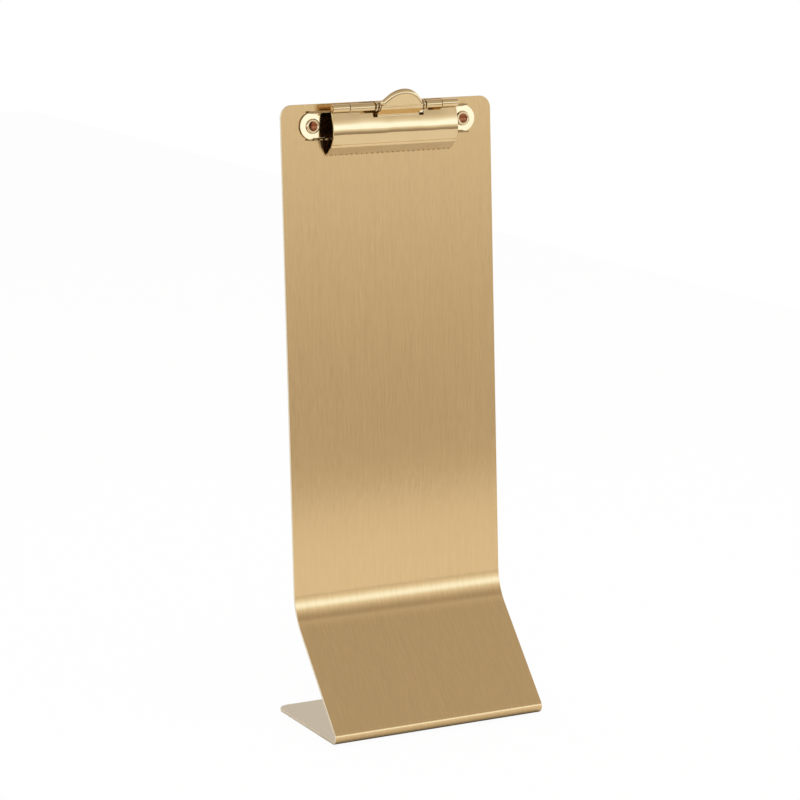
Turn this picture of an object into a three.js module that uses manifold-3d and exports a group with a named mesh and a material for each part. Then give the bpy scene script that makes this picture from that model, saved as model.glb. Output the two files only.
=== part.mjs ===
// Menu holder: one bent metal sheet that stands on a table, with a sprung clip riveted to its top.
// Millimetres. +X runs across the stand, +Y to its back and +Z up. The menu faces -Y, and the
// origin is on the table, at the middle of the footprint.
//
// The clip is drawn in the frame of the upper panel, whose origin is the middle of the panel's top
// front edge. There "drop" is a distance down the panel and "standoff" one out of its front face.

import * as THREE from 'three';
import { mergeVertices } from 'three/addons/utils/BufferGeometryUtils.js';
import loadManifold from 'manifold-3d';

const degrees = THREE.MathUtils.degToRad;

// Stand sheet. Its lengths run to the sharp corners that the two bends round off.
const SHEET_WIDTH = 120;
const SHEET_THICKNESS = 1.5;
const UPPER_LENGTH = 260.7;
const UPPER_LEAN = degrees(2.87);
const LOWER_LENGTH = 77.5;
const LOWER_LEAN = degrees(41.9);
const BASE_LENGTH = 75.6;
const KNEE_RADIUS = 29;
const FOOT_RADIUS = 3.8;
const TOP_CORNER_RADIUS = 6.2;
const BASE_CORNER_RADIUS = 6.2;

// Clearances
const SEAT_GAP = 0.3;
const PIN_CLEARANCE = 0.25;

// Hinge
const HINGE_DROP = 2.3;
const HINGE_STANDOFF = 9;
const PIN_DIAMETER = 2;
const PIN_END = 0.4;
const PIN_CHAMFER = 0.25;
const CLIP_SHEET = 0.8;
const CURL_ANGLE = degrees(280);
const KNUCKLE_SPLIT = 26.1;
const COIL_BAY_LEFT = 12.4;
const COIL_BAY_RIGHT = 17.3;

// Clip base plate
const RIVET_SPACING = 85.8;
const RIVET_DROP = 11;
const EAR_RADIUS = 7;
const PLATE_BEND_RADIUS = 0.6;
const FLANGE_DEPTH = 6.4;
const FLANGE_END_DEPTH = 1.8;
const FLANGE_PAST_RIVET = 2.4;
const LIP_DROP = 17.5;
const LIP_HEIGHT = 3;
const LIP_PAST_RIVET = 2.9;
const LIP_TOOTH_DEPTH = 0.6;

// Clip jaw
const JAW_WIDTH = 71;
const NECK_ANGLE = degrees(16);
const BOW_RADIUS = 11.5;
const BOW_END_ANGLE = degrees(26);
const CREASE_DROP = 22.1;
const CREASE_STANDOFF = 7.6;
const CREASE_RADIUS = 1.5;
const JAW_TIP_DROP = 27.1;
const JAW_TIP_STANDOFF = 0.8;
const JAW_TOOTH_DEPTH = 1.3;
const TOOTH_PITCH = 3;
const WINDOW_DROP = 5.4;
const RELIEF_DROP = 7.6;
const RELIEF_WIDTH = 2.6;

// Thumb tab, part of the jaw's sheet
const TAB_WIDTH = 23.6;
const TAB_CENTRE = 1.8;
const TAB_ROOT_DROP = 6.7;
const TAB_ROOT_LEAN = degrees(65.3);
const TAB_ROOT_LENGTH = 3.82;
const TAB_ROOT_RADIUS = 1;
const TAB_BELLY_RADIUS = 8;
const TAB_LEAN = degrees(28);
const TAB_SIDE = 3;
const TAB_ARCH = 8.7;
const ARCH_TOP_PULL = 0.42;
const ARCH_SIDE_PULL = 0.4;
const TAB_RIM_DEPTH = 2;
const TAB_RIM_START = 5;

// Torsion spring: two coils joined by a bridge that pushes the thumb tab forward
const WIRE_DIAMETER = 1.1;
const COIL_DIAMETER = 4.2;
const COIL_PITCH = 1.65;
const COIL_TURNS = 6;
const LEG_RISE = degrees(25);
const LEG_END_STANDOFF = 1.8;
const BRIDGE_LENGTH = 6;
const BRIDGE_CORNER = 1.6;

// Rivets
const SHANK_DIAMETER = 5;
const HEAD_DIAMETER = 8.4;
const HEAD_HEIGHT = 1.2;
const COLLAR_DIAMETER = 7.6;
const COLLAR_HEIGHT = 0.9;
const RIVET_BORE = 4.2;
const RIVET_BORE_DEPTH = 3;

// Resolution
const ARC_STEPS = 8;
const LATHE_STEPS = 32;
const WIRE_SIDES = 5;
const COIL_STEPS = 8;
const CORNER_STEPS = 4;

// Cutting tools overshoot the metal they cut by this much.
const OVERSHOOT = 1;

const wasm = await loadManifold();
wasm.setup();

const AXIS_X = new THREE.Vector3(1, 0, 0);
const AXIS_Y = new THREE.Vector3(0, 1, 0);
const AXIS_Z = new THREE.Vector3(0, 0, 1);

// Planes that outlines are drawn in: a profile runs across the stand, an elevation out of the
// panel's front face, and a plan upwards.
const PROFILE = new THREE.Matrix4().makeBasis(AXIS_Y, AXIS_Z, AXIS_X);
const ELEVATION = new THREE.Matrix4().makeBasis(AXIS_X, AXIS_Z, AXIS_Y.clone().negate());
const PLAN = new THREE.Matrix4();

// Solids

function solidFrom(geometry) {
  const bare = geometry.clone();
  bare.deleteAttribute('normal');
  bare.deleteAttribute('uv');
  const merged = mergeVertices(bare);
  return new wasm.Manifold(new wasm.Mesh({
    numProp: 3,
    vertProperties: Float32Array.from(merged.attributes.position.array),
    triVerts: Uint32Array.from(merged.index.array),
  }));
}

function prism(outline, plane, from, to) {
  const options = { depth: to - from, bevelEnabled: false, curveSegments: ARC_STEPS };
  const geometry = new THREE.ExtrudeGeometry(outline, options);
  geometry.translate(0, 0, from);
  return solidFrom(geometry.applyMatrix4(plane));
}

function meshFrom(name, solid, material) {
  const { vertProperties, triVerts } = solid.getMesh();
  const geometry = new THREE.BufferGeometry();
  geometry.setAttribute('position', new THREE.BufferAttribute(vertProperties, 3));
  geometry.setIndex(new THREE.BufferAttribute(triVerts, 1));
  return namedMesh(name, geometry, material);
}

function namedMesh(name, geometry, material) {
  const mesh = new THREE.Mesh(geometry, material);
  mesh.name = name;
  return mesh;
}

function metal(color, roughness) {
  return new THREE.MeshStandardMaterial({ color, roughness, metalness: 1, flatShading: true });
}

// Outlines

function rectangle(left, right, bottom, top) {
  const outline = new THREE.Shape();
  outline.moveTo(left, bottom);
  outline.lineTo(right, bottom);
  outline.lineTo(right, top);
  outline.lineTo(left, top);
  return outline;
}

function disc(centre, radius) {
  return new THREE.Shape().absarc(centre.x, centre.y, radius, 0, 2 * Math.PI);
}

// What a rounded corner takes off a square one whose point is at the origin and whose sides run
// along +u and +v.
function cornerWaste(radius) {
  const waste = new THREE.Shape();
  waste.moveTo(-OVERSHOOT, -OVERSHOOT);
  waste.lineTo(radius, -OVERSHOOT);
  waste.lineTo(radius, 0);
  waste.absarc(radius, radius, radius, -Math.PI / 2, Math.PI, true);
  waste.lineTo(-OVERSHOOT, radius);
  return waste;
}

function leftOf(heading) {
  return new THREE.Vector2(-heading.y, heading.x);
}

function turnBetween(heading, next) {
  return Math.atan2(heading.cross(next), heading.dot(next));
}

// Where the line through `point` along `heading` meets the one through `other` along `otherHeading`.
function crossing(point, heading, other, otherHeading) {
  const distance = other.clone().sub(point).cross(otherHeading) / heading.cross(otherHeading);
  return point.clone().addScaledVector(heading, distance);
}

// Outline of a bent strip of sheet. `face` follows one face of it, with the metal on the left, and
// `radii` are that face's radii at the inner corners. A `curl` rolls the strip's first end round a
// circle on the left of the path (side 1) or on its right (side -1).
function bentStrip(face, radii, thickness, curl) {
  const headings = face.slice(1).map((point, i) => point.clone().sub(face[i]).normalize());
  const bends = radii.map((radius, i) => {
    const turn = turnBetween(headings[i], headings[i + 1]);
    const side = Math.sign(turn);
    const setback = radius * Math.tan(Math.abs(turn) / 2);
    const start = face[i + 1].clone().addScaledVector(headings[i], -setback);
    const centre = start.clone().addScaledVector(leftOf(headings[i]), side * radius);
    const from = start.sub(centre).angle();
    return { centre, radius, side, from, to: from + turn };
  });
  if (curl) {
    const { radius, side, angle } = curl;
    const centre = face[0].clone().addScaledVector(leftOf(headings[0]), side * radius);
    const to = face[0].clone().sub(centre).angle();
    bends.unshift({ centre, radius, side, from: to - side * angle, to });
  }

  const outline = new THREE.Shape();
  const follow = ({ centre }, radius, from, to) => {
    outline.lineTo(centre.x + radius * Math.cos(from), centre.y + radius * Math.sin(from));
    outline.absarc(centre.x, centre.y, radius, from, to, to < from);
  };
  const go = (point) => outline.lineTo(point.x, point.y);
  const behind = (point, heading) => point.clone().addScaledVector(leftOf(heading), thickness);

  const start = curl ? pointOn(bends[0], bends[0].radius, bends[0].from) : face[0];
  outline.moveTo(start.x, start.y);
  bends.forEach((bend) => follow(bend, bend.radius, bend.from, bend.to));
  go(face.at(-1));
  go(behind(face.at(-1), headings.at(-1)));
  bends.toReversed().forEach((bend) => {
    follow(bend, bend.radius - bend.side * thickness, bend.to, bend.from);
  });
  if (!curl) {
    go(behind(face[0], headings[0]));
  }
  return outline;
}

function pointOn({ centre }, radius, angle) {
  return new THREE.Vector2(Math.cos(angle), Math.sin(angle)).multiplyScalar(radius).add(centre);
}

// Stand sheet

// Direction up a panel that leans back by `lean`, in the profile plane.
function upPanel(lean) {
  return new THREE.Vector2(Math.sin(lean), Math.cos(lean));
}

const footSetback = FOOT_RADIUS * Math.tan((Math.PI / 2 + LOWER_LEAN) / 2);
const footFront = footSetback - FOOT_RADIUS;
const footCorner = new THREE.Vector2(-(footFront + BASE_LENGTH) / 2, 0);
const baseRear = new THREE.Vector2(footCorner.x + BASE_LENGTH, 0);
const kneeCorner = footCorner.clone().addScaledVector(upPanel(LOWER_LEAN), LOWER_LENGTH);
const panelTop = kneeCorner.clone().addScaledVector(upPanel(UPPER_LEAN), UPPER_LENGTH);
const halfWidth = SHEET_WIDTH / 2;

const clip = new THREE.Group();
clip.position.set(0, panelTop.x, panelTop.y);
clip.rotation.x = -UPPER_LEAN;
clip.updateMatrix();

const rivetPlaces = [-RIVET_SPACING / 2, RIVET_SPACING / 2];
const rivetHole = SHANK_DIAMETER / 2 + SEAT_GAP;

function makeStandSheet() {
  const profile = bentStrip(
    [panelTop, kneeCorner, footCorner, baseRear],
    [KNEE_RADIUS, FOOT_RADIUS],
    SHEET_THICKNESS,
  );
  let sheet = prism(profile, PROFILE, -halfWidth, halfWidth);
  const panelFace = clip.matrix.clone().multiply(ELEVATION);
  for (const side of [-1, 1]) {
    const topCorner = new THREE.Matrix4().makeTranslation(side * halfWidth, 0, 0);
    topCorner.multiply(turnedCorner(side));
    const topWaste = cornerWaste(TOP_CORNER_RADIUS);
    const topCut = panelFace.clone().multiply(topCorner);
    sheet = sheet.subtract(prism(topWaste, topCut, -SHEET_THICKNESS - OVERSHOOT, OVERSHOOT));

    const baseCorner = new THREE.Matrix4().makeTranslation(side * halfWidth, baseRear.x, 0);
    baseCorner.multiply(turnedCorner(side));
    const baseWaste = cornerWaste(BASE_CORNER_RADIUS);
    sheet = sheet.subtract(prism(baseWaste, baseCorner, -OVERSHOOT, SHEET_THICKNESS + OVERSHOOT));
  }
  for (const x of rivetPlaces) {
    const hole = disc(new THREE.Vector2(x, -RIVET_DROP), rivetHole);
    sheet = sheet.subtract(prism(hole, panelFace, -SHEET_THICKNESS - OVERSHOOT, OVERSHOOT));
  }
  return meshFrom('stand_sheet', sheet, metal(0xc9a56f, 0.38));
}

// Turns a corner's sides so that they run down and inwards from the top right or top left.
function turnedCorner(side) {
  return new THREE.Matrix4().makeRotationZ(side > 0 ? Math.PI : -Math.PI / 2);
}

// Clip frame

function at(drop, standoff) {
  return new THREE.Vector2(-standoff, -drop);
}

const hinge = at(HINGE_DROP, HINGE_STANDOFF);
const knuckleBore = PIN_DIAMETER / 2 + PIN_CLEARANCE;
const knuckleRadius = knuckleBore + CLIP_SHEET;
const jawHalf = JAW_WIDTH / 2;
const plateFront = SEAT_GAP + CLIP_SHEET;
const flangeDrop = HINGE_DROP + knuckleRadius;
const coilRadius = COIL_DIAMETER / 2;
const wireRadius = WIRE_DIAMETER / 2;

// The spring's end legs leave the coil rising at LEG_RISE, level out over the flange and rest on it.
const legTangent = new THREE.Vector2(Math.sin(LEG_RISE), -Math.cos(LEG_RISE));
const legLeave = hinge.clone().addScaledVector(legTangent, coilRadius);
const legHeight = -flangeDrop + CLIP_SHEET + SEAT_GAP + wireRadius;
const legBendY = legLeave.x + (legHeight - legLeave.y) / Math.tan(LEG_RISE);
const bayFlangeDepth = -legBendY - SEAT_GAP;

// Clip base plate

function makeBasePlate() {
  const channel = bentStrip(
    [
      at(flangeDrop, FLANGE_DEPTH),
      at(flangeDrop, plateFront),
      at(LIP_DROP, plateFront),
      at(LIP_DROP, LIP_HEIGHT),
    ],
    [PLATE_BEND_RADIUS, PLATE_BEND_RADIUS],
    CLIP_SHEET,
  );
  const reach = RIVET_SPACING / 2 + EAR_RADIUS;
  const bendDepth = plateFront + PLATE_BEND_RADIUS;
  const plateBlank = prism(earOutline(), ELEVATION, 0, bendDepth);
  const flangeFloor = -flangeDrop - PLATE_BEND_RADIUS;
  const flangeBlank = prism(flangeOutline(), PLAN, flangeFloor, flangeFloor + CLIP_SHEET + OVERSHOOT);
  const lipFloor = -LIP_DROP - CLIP_SHEET - OVERSHOOT;
  const lipBlank = prism(lipOutline(), PLAN, lipFloor, -LIP_DROP + PLATE_BEND_RADIUS);
  let plate = prism(channel, PROFILE, -reach, reach);
  plate = plate.intersect(plateBlank.add(flangeBlank).add(lipBlank));

  const bay = rectangle(-COIL_BAY_LEFT, COIL_BAY_RIGHT, -FLANGE_DEPTH - OVERSHOOT, -bayFlangeDepth);
  plate = plate.subtract(prism(bay, PLAN, flangeFloor, 0));
  for (const [from, to] of [[-KNUCKLE_SPLIT, -COIL_BAY_LEFT], [COIL_BAY_RIGHT, KNUCKLE_SPLIT]]) {
    plate = plate.add(prism(baseKnuckle(), PROFILE, from, to));
  }
  for (const x of rivetPlaces) {
    const hole = disc(new THREE.Vector2(x, -RIVET_DROP), rivetHole);
    plate = plate.subtract(prism(hole, ELEVATION, 0, plateFront + OVERSHOOT));
  }
  return meshFrom('clip_base_plate', plate, metal(0xe2c48c, 0.16));
}

// The flange's front edge rolled forward, up and back over the pin.
function baseKnuckle() {
  const flange = [at(flangeDrop, HINGE_STANDOFF), at(flangeDrop, plateFront + PLATE_BEND_RADIUS)];
  return bentStrip(flange, [], CLIP_SHEET, { radius: knuckleRadius, side: 1, angle: CURL_ANGLE });
}

function earOutline() {
  const [left, right] = rivetPlaces;
  const outline = new THREE.Shape();
  outline.absarc(left, -RIVET_DROP, EAR_RADIUS, Math.PI / 2, -Math.PI / 2, false);
  outline.absarc(right, -RIVET_DROP, EAR_RADIUS, -Math.PI / 2, Math.PI / 2, false);
  return outline;
}

function flangeOutline() {
  const end = RIVET_SPACING / 2 + FLANGE_PAST_RIVET;
  const outline = new THREE.Shape();
  outline.moveTo(-end, 0);
  outline.lineTo(-end, -FLANGE_END_DEPTH);
  outline.lineTo(-jawHalf, -FLANGE_DEPTH - OVERSHOOT);
  outline.lineTo(jawHalf, -FLANGE_DEPTH - OVERSHOOT);
  outline.lineTo(end, -FLANGE_END_DEPTH);
  outline.lineTo(end, 0);
  return outline;
}

// The stop lip, with a serrated front edge.
function lipOutline() {
  const end = RIVET_SPACING / 2 + LIP_PAST_RIVET;
  const teeth = Math.round(2 * end / TOOTH_PITCH);
  const pitch = 2 * end / teeth;
  const outline = new THREE.Shape();
  outline.moveTo(end, 0);
  outline.lineTo(-end, 0);
  for (let tooth = 0; tooth < teeth; tooth += 1) {
    const x = -end + tooth * pitch;
    outline.lineTo(x, -LIP_HEIGHT + LIP_TOOTH_DEPTH);
    outline.lineTo(x + pitch / 2, -LIP_HEIGHT);
  }
  outline.lineTo(end, -LIP_HEIGHT + LIP_TOOTH_DEPTH);
  return outline;
}

// Clip jaw. Its front face runs down the neck, round the bow, over a crease and along the flat lip to
// the teeth. In the middle, the sheet is folded forward off the neck and swells up into the thumb tab.

const neckHeading = new THREE.Vector2(-Math.sin(NECK_ANGLE), -Math.cos(NECK_ANGLE));
const neckStart = hinge.clone().addScaledVector(leftOf(neckHeading), knuckleBore);
const bowEndHeading = new THREE.Vector2(Math.sin(BOW_END_ANGLE), -Math.cos(BOW_END_ANGLE));
const crease = at(CREASE_DROP, CREASE_STANDOFF);
const bowCorner = crossing(neckStart, neckHeading, crease, bowEndHeading);
const jawTip = at(JAW_TIP_DROP, JAW_TIP_STANDOFF);
const lipHeading = jawTip.clone().sub(crease).normalize();
const rawTip = jawTip.clone().addScaledVector(lipHeading, OVERSHOOT);

const tabRoot = onNeck(TAB_ROOT_DROP);
const tabBelly = tabRoot.clone().addScaledVector(upPanel(-TAB_ROOT_LEAN), TAB_ROOT_LENGTH);
const tabUp = upPanel(-TAB_LEAN);
const tabHalf = TAB_WIDTH / 2;
const tabLeft = TAB_CENTRE - tabHalf;
const tabRight = TAB_CENTRE + tabHalf;
const tabPlane = slopingPlane(TAB_CENTRE, tabBelly, tabUp);

function onNeck(drop) {
  return crossing(at(drop, 0), new THREE.Vector2(1, 0), neckStart, neckHeading);
}

// A plane whose u axis is +X and whose v axis climbs along `up`, from `origin` in the profile at `x`.
function slopingPlane(x, origin, up) {
  const climb = new THREE.Vector3(0, up.x, up.y);
  const plane = new THREE.Matrix4().makeBasis(AXIS_X, climb, AXIS_X.clone().cross(climb));
  return plane.setPosition(x, origin.x, origin.y);
}

function makeJaw() {
  const body = [bowCorner, crease, rawTip];
  const bends = [BOW_RADIUS, CREASE_RADIUS];
  const curl = { radius: knuckleBore, side: -1, angle: CURL_ANGLE };
  const knuckled = bentStrip([neckStart, ...body], bends, CLIP_SHEET, curl);
  const windowed = bentStrip([onNeck(WINDOW_DROP), ...body], bends, CLIP_SHEET);
  const relieved = bentStrip([onNeck(RELIEF_DROP), ...body], bends, CLIP_SHEET);
  const tabFoot = tabBelly.clone().addScaledVector(tabUp, TAB_SIDE);
  const tabbed = bentStrip(
    [tabFoot, tabBelly, tabRoot, ...body],
    [TAB_BELLY_RADIUS, TAB_ROOT_RADIUS, ...bends],
    CLIP_SHEET,
  );
  const knuckleStart = KNUCKLE_SPLIT + SEAT_GAP;
  const strips = [
    [knuckled, -jawHalf, -knuckleStart],
    [windowed, -knuckleStart, tabLeft - RELIEF_WIDTH],
    [relieved, tabLeft - RELIEF_WIDTH, tabLeft],
    [tabbed, tabLeft, tabRight],
    [relieved, tabRight, tabRight + RELIEF_WIDTH],
    [windowed, tabRight + RELIEF_WIDTH, knuckleStart],
    [knuckled, knuckleStart, jawHalf],
  ];
  let jaw = tabPlate();
  for (const [profile, from, to] of strips) {
    jaw = jaw.add(prism(profile, PROFILE, from, to));
  }
  return meshFrom('clip_jaw', jaw.subtract(toothComb()), metal(0xe2c48c, 0.14));
}

// The thumb tab's face, with its edge turned back into a rim.
function tabPlate() {
  const face = prism(tabOutline(0), tabPlane, -CLIP_SHEET, 0);
  const block = prism(tabOutline(0), tabPlane, -TAB_RIM_DEPTH, -CLIP_SHEET / 2);
  const hollow = prism(tabOutline(CLIP_SHEET), tabPlane, -TAB_RIM_DEPTH - OVERSHOOT, 0);
  const below = rectangle(-tabHalf - OVERSHOOT, tabHalf + OVERSHOOT, -OVERSHOOT, TAB_RIM_START);
  const foot = prism(below, tabPlane, -TAB_RIM_DEPTH - OVERSHOOT, 0);
  return face.add(block.subtract(hollow).subtract(foot));
}

function tabOutline(inset) {
  const half = tabHalf - inset;
  const bellyEnd = TAB_BELLY_RADIUS * Math.tan((TAB_ROOT_LEAN - TAB_LEAN) / 2);
  const rise = TAB_ARCH - inset;
  const shoulder = TAB_SIDE + ARCH_SIDE_PULL * rise;
  const top = TAB_SIDE + rise;
  const outline = new THREE.Shape();
  outline.moveTo(-half, bellyEnd);
  outline.lineTo(half, bellyEnd);
  outline.lineTo(half, TAB_SIDE);
  outline.bezierCurveTo(half, shoulder, ARCH_TOP_PULL * half, top, 0, top);
  outline.bezierCurveTo(-ARCH_TOP_PULL * half, top, -half, shoulder, -half, TAB_SIDE);
  return outline;
}

// What is punched out of the lip's raw edge: an arched notch between each two teeth.
function toothComb() {
  const teeth = Math.round(JAW_WIDTH / TOOTH_PITCH);
  const pitch = JAW_WIDTH / teeth;
  const comb = new THREE.Shape();
  comb.moveTo(-jawHalf - OVERSHOOT, 0);
  comb.lineTo(-jawHalf - OVERSHOOT, -2 * OVERSHOOT);
  comb.lineTo(jawHalf + OVERSHOOT, -2 * OVERSHOOT);
  comb.lineTo(jawHalf + OVERSHOOT, 0);
  for (let tooth = 0; tooth < teeth; tooth += 1) {
    const x = jawHalf - tooth * pitch;
    comb.lineTo(x, 0);
    comb.quadraticCurveTo(x - pitch / 2, 2 * JAW_TOOTH_DEPTH, x - pitch, 0);
  }
  const lipPlane = slopingPlane(0, jawTip, lipHeading.clone().negate());
  return prism(comb, lipPlane, -CLIP_SHEET - OVERSHOOT, OVERSHOOT);
}

// Hinge pin

function makePin() {
  const radius = PIN_DIAMETER / 2;
  const half = jawHalf + PIN_END;
  const profile = [
    [0, -half],
    [radius - PIN_CHAMFER, -half],
    [radius, -half + PIN_CHAMFER],
    [radius, half - PIN_CHAMFER],
    [radius - PIN_CHAMFER, half],
    [0, half],
  ].map(([r, y]) => new THREE.Vector2(r, y));
  const pin = namedMesh('hinge_pin', new THREE.LatheGeometry(profile, LATHE_STEPS), metal(0xd8b87e, 0.2));
  pin.position.set(0, hinge.x, hinge.y);
  pin.rotation.z = Math.PI / 2;
  return pin;
}

// Torsion spring

// Half of the wire, from the tip of one end leg to the top of the bridge. `bayEnd` is the end of
// the coil bay that the leg is at, and `inward` the direction from there to the bridge.
function halfWire(bayEnd, inward) {
  const outerX = bayEnd + inward * (SEAT_GAP + wireRadius);
  const tabBack = hinge.clone().sub(tabBelly).dot(leftOf(tabUp).negate());
  const bridgeReach = tabBack - CLIP_SHEET - SEAT_GAP - wireRadius;
  const bridgeSlope = Math.asin(bridgeReach / Math.hypot(coilRadius, BRIDGE_LENGTH))
    - Math.atan2(coilRadius, BRIDGE_LENGTH);
  const bridgeLean = TAB_LEAN + bridgeSlope;
  const first = -Math.PI / 2 - LEG_RISE;
  const last = COIL_TURNS * 2 * Math.PI - bridgeLean;
  const steps = Math.round((last - first) / (2 * Math.PI) * COIL_STEPS);
  const points = [
    new THREE.Vector3(outerX, -LEG_END_STANDOFF, legHeight),
    new THREE.Vector3(outerX, legBendY, legHeight),
  ];
  for (let step = 0; step <= steps; step += 1) {
    const angle = first + (last - first) * step / steps;
    const x = outerX + inward * COIL_PITCH * (angle - first) / (2 * Math.PI);
    const y = hinge.x - coilRadius * Math.cos(angle);
    points.push(new THREE.Vector3(x, y, hinge.y + coilRadius * Math.sin(angle)));
  }
  const climb = new THREE.Vector3(0, -Math.sin(bridgeLean), Math.cos(bridgeLean));
  const corner = points.at(-1).clone().addScaledVector(climb, BRIDGE_LENGTH);
  for (let step = 0; step <= CORNER_STEPS; step += 1) {
    const angle = step / CORNER_STEPS * Math.PI / 2;
    const along = BRIDGE_CORNER * (1 - Math.sin(angle));
    const across = BRIDGE_CORNER * (1 - Math.cos(angle));
    points.push(corner.clone().addScaledVector(climb, -along).addScaledVector(AXIS_X, inward * across));
  }
  return points;
}

// A closed tube along `points`, whose section is carried from each point to the next without twist.
function wireTube(points, radius) {
  const headings = points.map((point, i) => {
    const before = points[Math.max(i - 1, 0)];
    const after = points[Math.min(i + 1, points.length - 1)];
    return after.clone().sub(before).normalize();
  });
  const vertices = [];
  const triangles = [];
  const section = AXIS_X.clone().cross(headings[0]).normalize();
  points.forEach((point, i) => {
    if (i > 0) {
      section.applyQuaternion(new THREE.Quaternion().setFromUnitVectors(headings[i - 1], headings[i]));
    }
    const other = headings[i].clone().cross(section);
    for (let side = 0; side < WIRE_SIDES; side += 1) {
      const angle = side / WIRE_SIDES * 2 * Math.PI;
      const corner = point.clone().addScaledVector(section, radius * Math.cos(angle));
      corner.addScaledVector(other, radius * Math.sin(angle));
      vertices.push(...corner.toArray());
    }
  });
  const rings = points.length;
  for (let ring = 0; ring + 1 < rings; ring += 1) {
    for (let side = 0; side < WIRE_SIDES; side += 1) {
      const a = ring * WIRE_SIDES + side;
      const b = ring * WIRE_SIDES + (side + 1) % WIRE_SIDES;
      triangles.push(a, b, b + WIRE_SIDES, a, b + WIRE_SIDES, a + WIRE_SIDES);
    }
  }
  const lastRing = (rings - 1) * WIRE_SIDES;
  for (let side = 1; side + 1 < WIRE_SIDES; side += 1) {
    triangles.push(0, side + 1, side);
    triangles.push(lastRing, lastRing + side, lastRing + side + 1);
  }
  const geometry = new THREE.BufferGeometry();
  geometry.setAttribute('position', new THREE.Float32BufferAttribute(vertices, 3));
  geometry.setIndex(triangles);
  return geometry;
}

// Least clear distance between two stretches of the wire that are over half a turn apart on it.
function leastGap(points, diameter) {
  const along = [0];
  for (let i = 1; i < points.length; i += 1) {
    along.push(along[i - 1] + points[i].distanceTo(points[i - 1]));
  }
  const apart = Math.PI * coilRadius;
  let least = Infinity;
  for (let i = 0; i < points.length; i += 1) {
    for (let j = i + 1; j < points.length; j += 1) {
      if (along[j] - along[i] > apart) {
        least = Math.min(least, points[i].distanceTo(points[j]));
      }
    }
  }
  return least - diameter;
}

function makeSpring() {
  const left = halfWire(-COIL_BAY_LEFT, 1);
  const right = halfWire(COIL_BAY_RIGHT, -1);
  const wire = [...left, ...right.reverse()];
  const gap = leastGap(wire, WIRE_DIAMETER).toFixed(2);
  console.log(`torsion_spring: least gap of the wire to itself ${gap} mm`);
  return namedMesh('torsion_spring', wireTube(wire, wireRadius), metal(0xc9b48c, 0.25));
}

// Rivets: a domed head behind the panel, and a hollow end clinched into a collar in front.

function makeRivet(name, x) {
  const backFace = SHEET_THICKNESS + SEAT_GAP;
  const frontFace = -plateFront - SEAT_GAP;
  const boreFloor = frontFace - COLLAR_HEIGHT + RIVET_BORE_DEPTH;
  const collarMiddle = (COLLAR_DIAMETER + RIVET_BORE) / 4;
  const collarHalf = (COLLAR_DIAMETER - RIVET_BORE) / 4;
  const profile = new THREE.Path();
  profile.moveTo(0, boreFloor);
  profile.lineTo(RIVET_BORE / 2, boreFloor);
  profile.lineTo(RIVET_BORE / 2, frontFace);
  profile.absellipse(collarMiddle, frontFace, collarHalf, COLLAR_HEIGHT, Math.PI, 2 * Math.PI, false);
  profile.lineTo(SHANK_DIAMETER / 2, frontFace);
  profile.lineTo(SHANK_DIAMETER / 2, backFace);
  profile.lineTo(HEAD_DIAMETER / 2, backFace);
  profile.absellipse(0, backFace, HEAD_DIAMETER / 2, HEAD_HEIGHT, 0, Math.PI / 2, false);
  const points = profile.getPoints(ARC_STEPS / 2);
  const rivet = namedMesh(name, new THREE.LatheGeometry(points, LATHE_STEPS), metal(0xdcbb80, 0.2));
  rivet.position.set(x, 0, -RIVET_DROP);
  return rivet;
}

clip.add(makeBasePlate(), makeJaw(), makePin(), makeSpring());
clip.add(makeRivet('rivet_left', rivetPlaces[0]), makeRivet('rivet_right', rivetPlaces[1]));

const menuHolder = new THREE.Group();
menuHolder.add(makeStandSheet(), clip);

export default menuHolder;
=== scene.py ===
# %% [markdown]
# # A menu holder with a sprung clip
#
# The real object is one strip of brushed, brass-coloured sheet that is bent twice to stand by
# itself, with a stock board clip riveted along its top edge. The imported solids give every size,
# place and joint. This lesson makes a finer piece for each of them: folded sheet with round bends
# and eased edges, a wound spring, and metal finishes that are worked out from nodes.

# %% Load the solids as the frame
import math

import bmesh
import bpy
from mathutils import Matrix, Vector


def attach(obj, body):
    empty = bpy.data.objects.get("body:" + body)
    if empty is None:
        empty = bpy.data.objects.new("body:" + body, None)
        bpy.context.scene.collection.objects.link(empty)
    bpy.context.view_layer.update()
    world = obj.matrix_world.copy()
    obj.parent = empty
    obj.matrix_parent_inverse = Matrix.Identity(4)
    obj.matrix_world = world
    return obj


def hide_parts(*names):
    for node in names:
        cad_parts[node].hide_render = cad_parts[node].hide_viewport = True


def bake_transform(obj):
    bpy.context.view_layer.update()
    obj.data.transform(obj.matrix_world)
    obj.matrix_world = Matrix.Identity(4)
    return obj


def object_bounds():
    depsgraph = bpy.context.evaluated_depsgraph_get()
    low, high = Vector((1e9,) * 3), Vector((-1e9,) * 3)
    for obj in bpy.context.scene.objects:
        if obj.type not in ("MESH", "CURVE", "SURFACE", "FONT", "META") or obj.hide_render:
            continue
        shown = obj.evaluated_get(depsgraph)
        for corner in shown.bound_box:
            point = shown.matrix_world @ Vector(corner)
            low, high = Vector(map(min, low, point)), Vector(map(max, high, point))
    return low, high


MM = 0.001

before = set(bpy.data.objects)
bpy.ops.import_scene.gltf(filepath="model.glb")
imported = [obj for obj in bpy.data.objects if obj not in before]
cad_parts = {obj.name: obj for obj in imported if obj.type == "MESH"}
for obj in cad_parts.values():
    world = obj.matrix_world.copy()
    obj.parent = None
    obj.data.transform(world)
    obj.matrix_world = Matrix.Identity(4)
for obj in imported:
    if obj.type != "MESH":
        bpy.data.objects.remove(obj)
cad_low, cad_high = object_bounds()
print("solids:", ", ".join(sorted(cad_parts)))
print("box of the solids, mm:", [round(side / MM, 1) for side in cad_high - cad_low])

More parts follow.
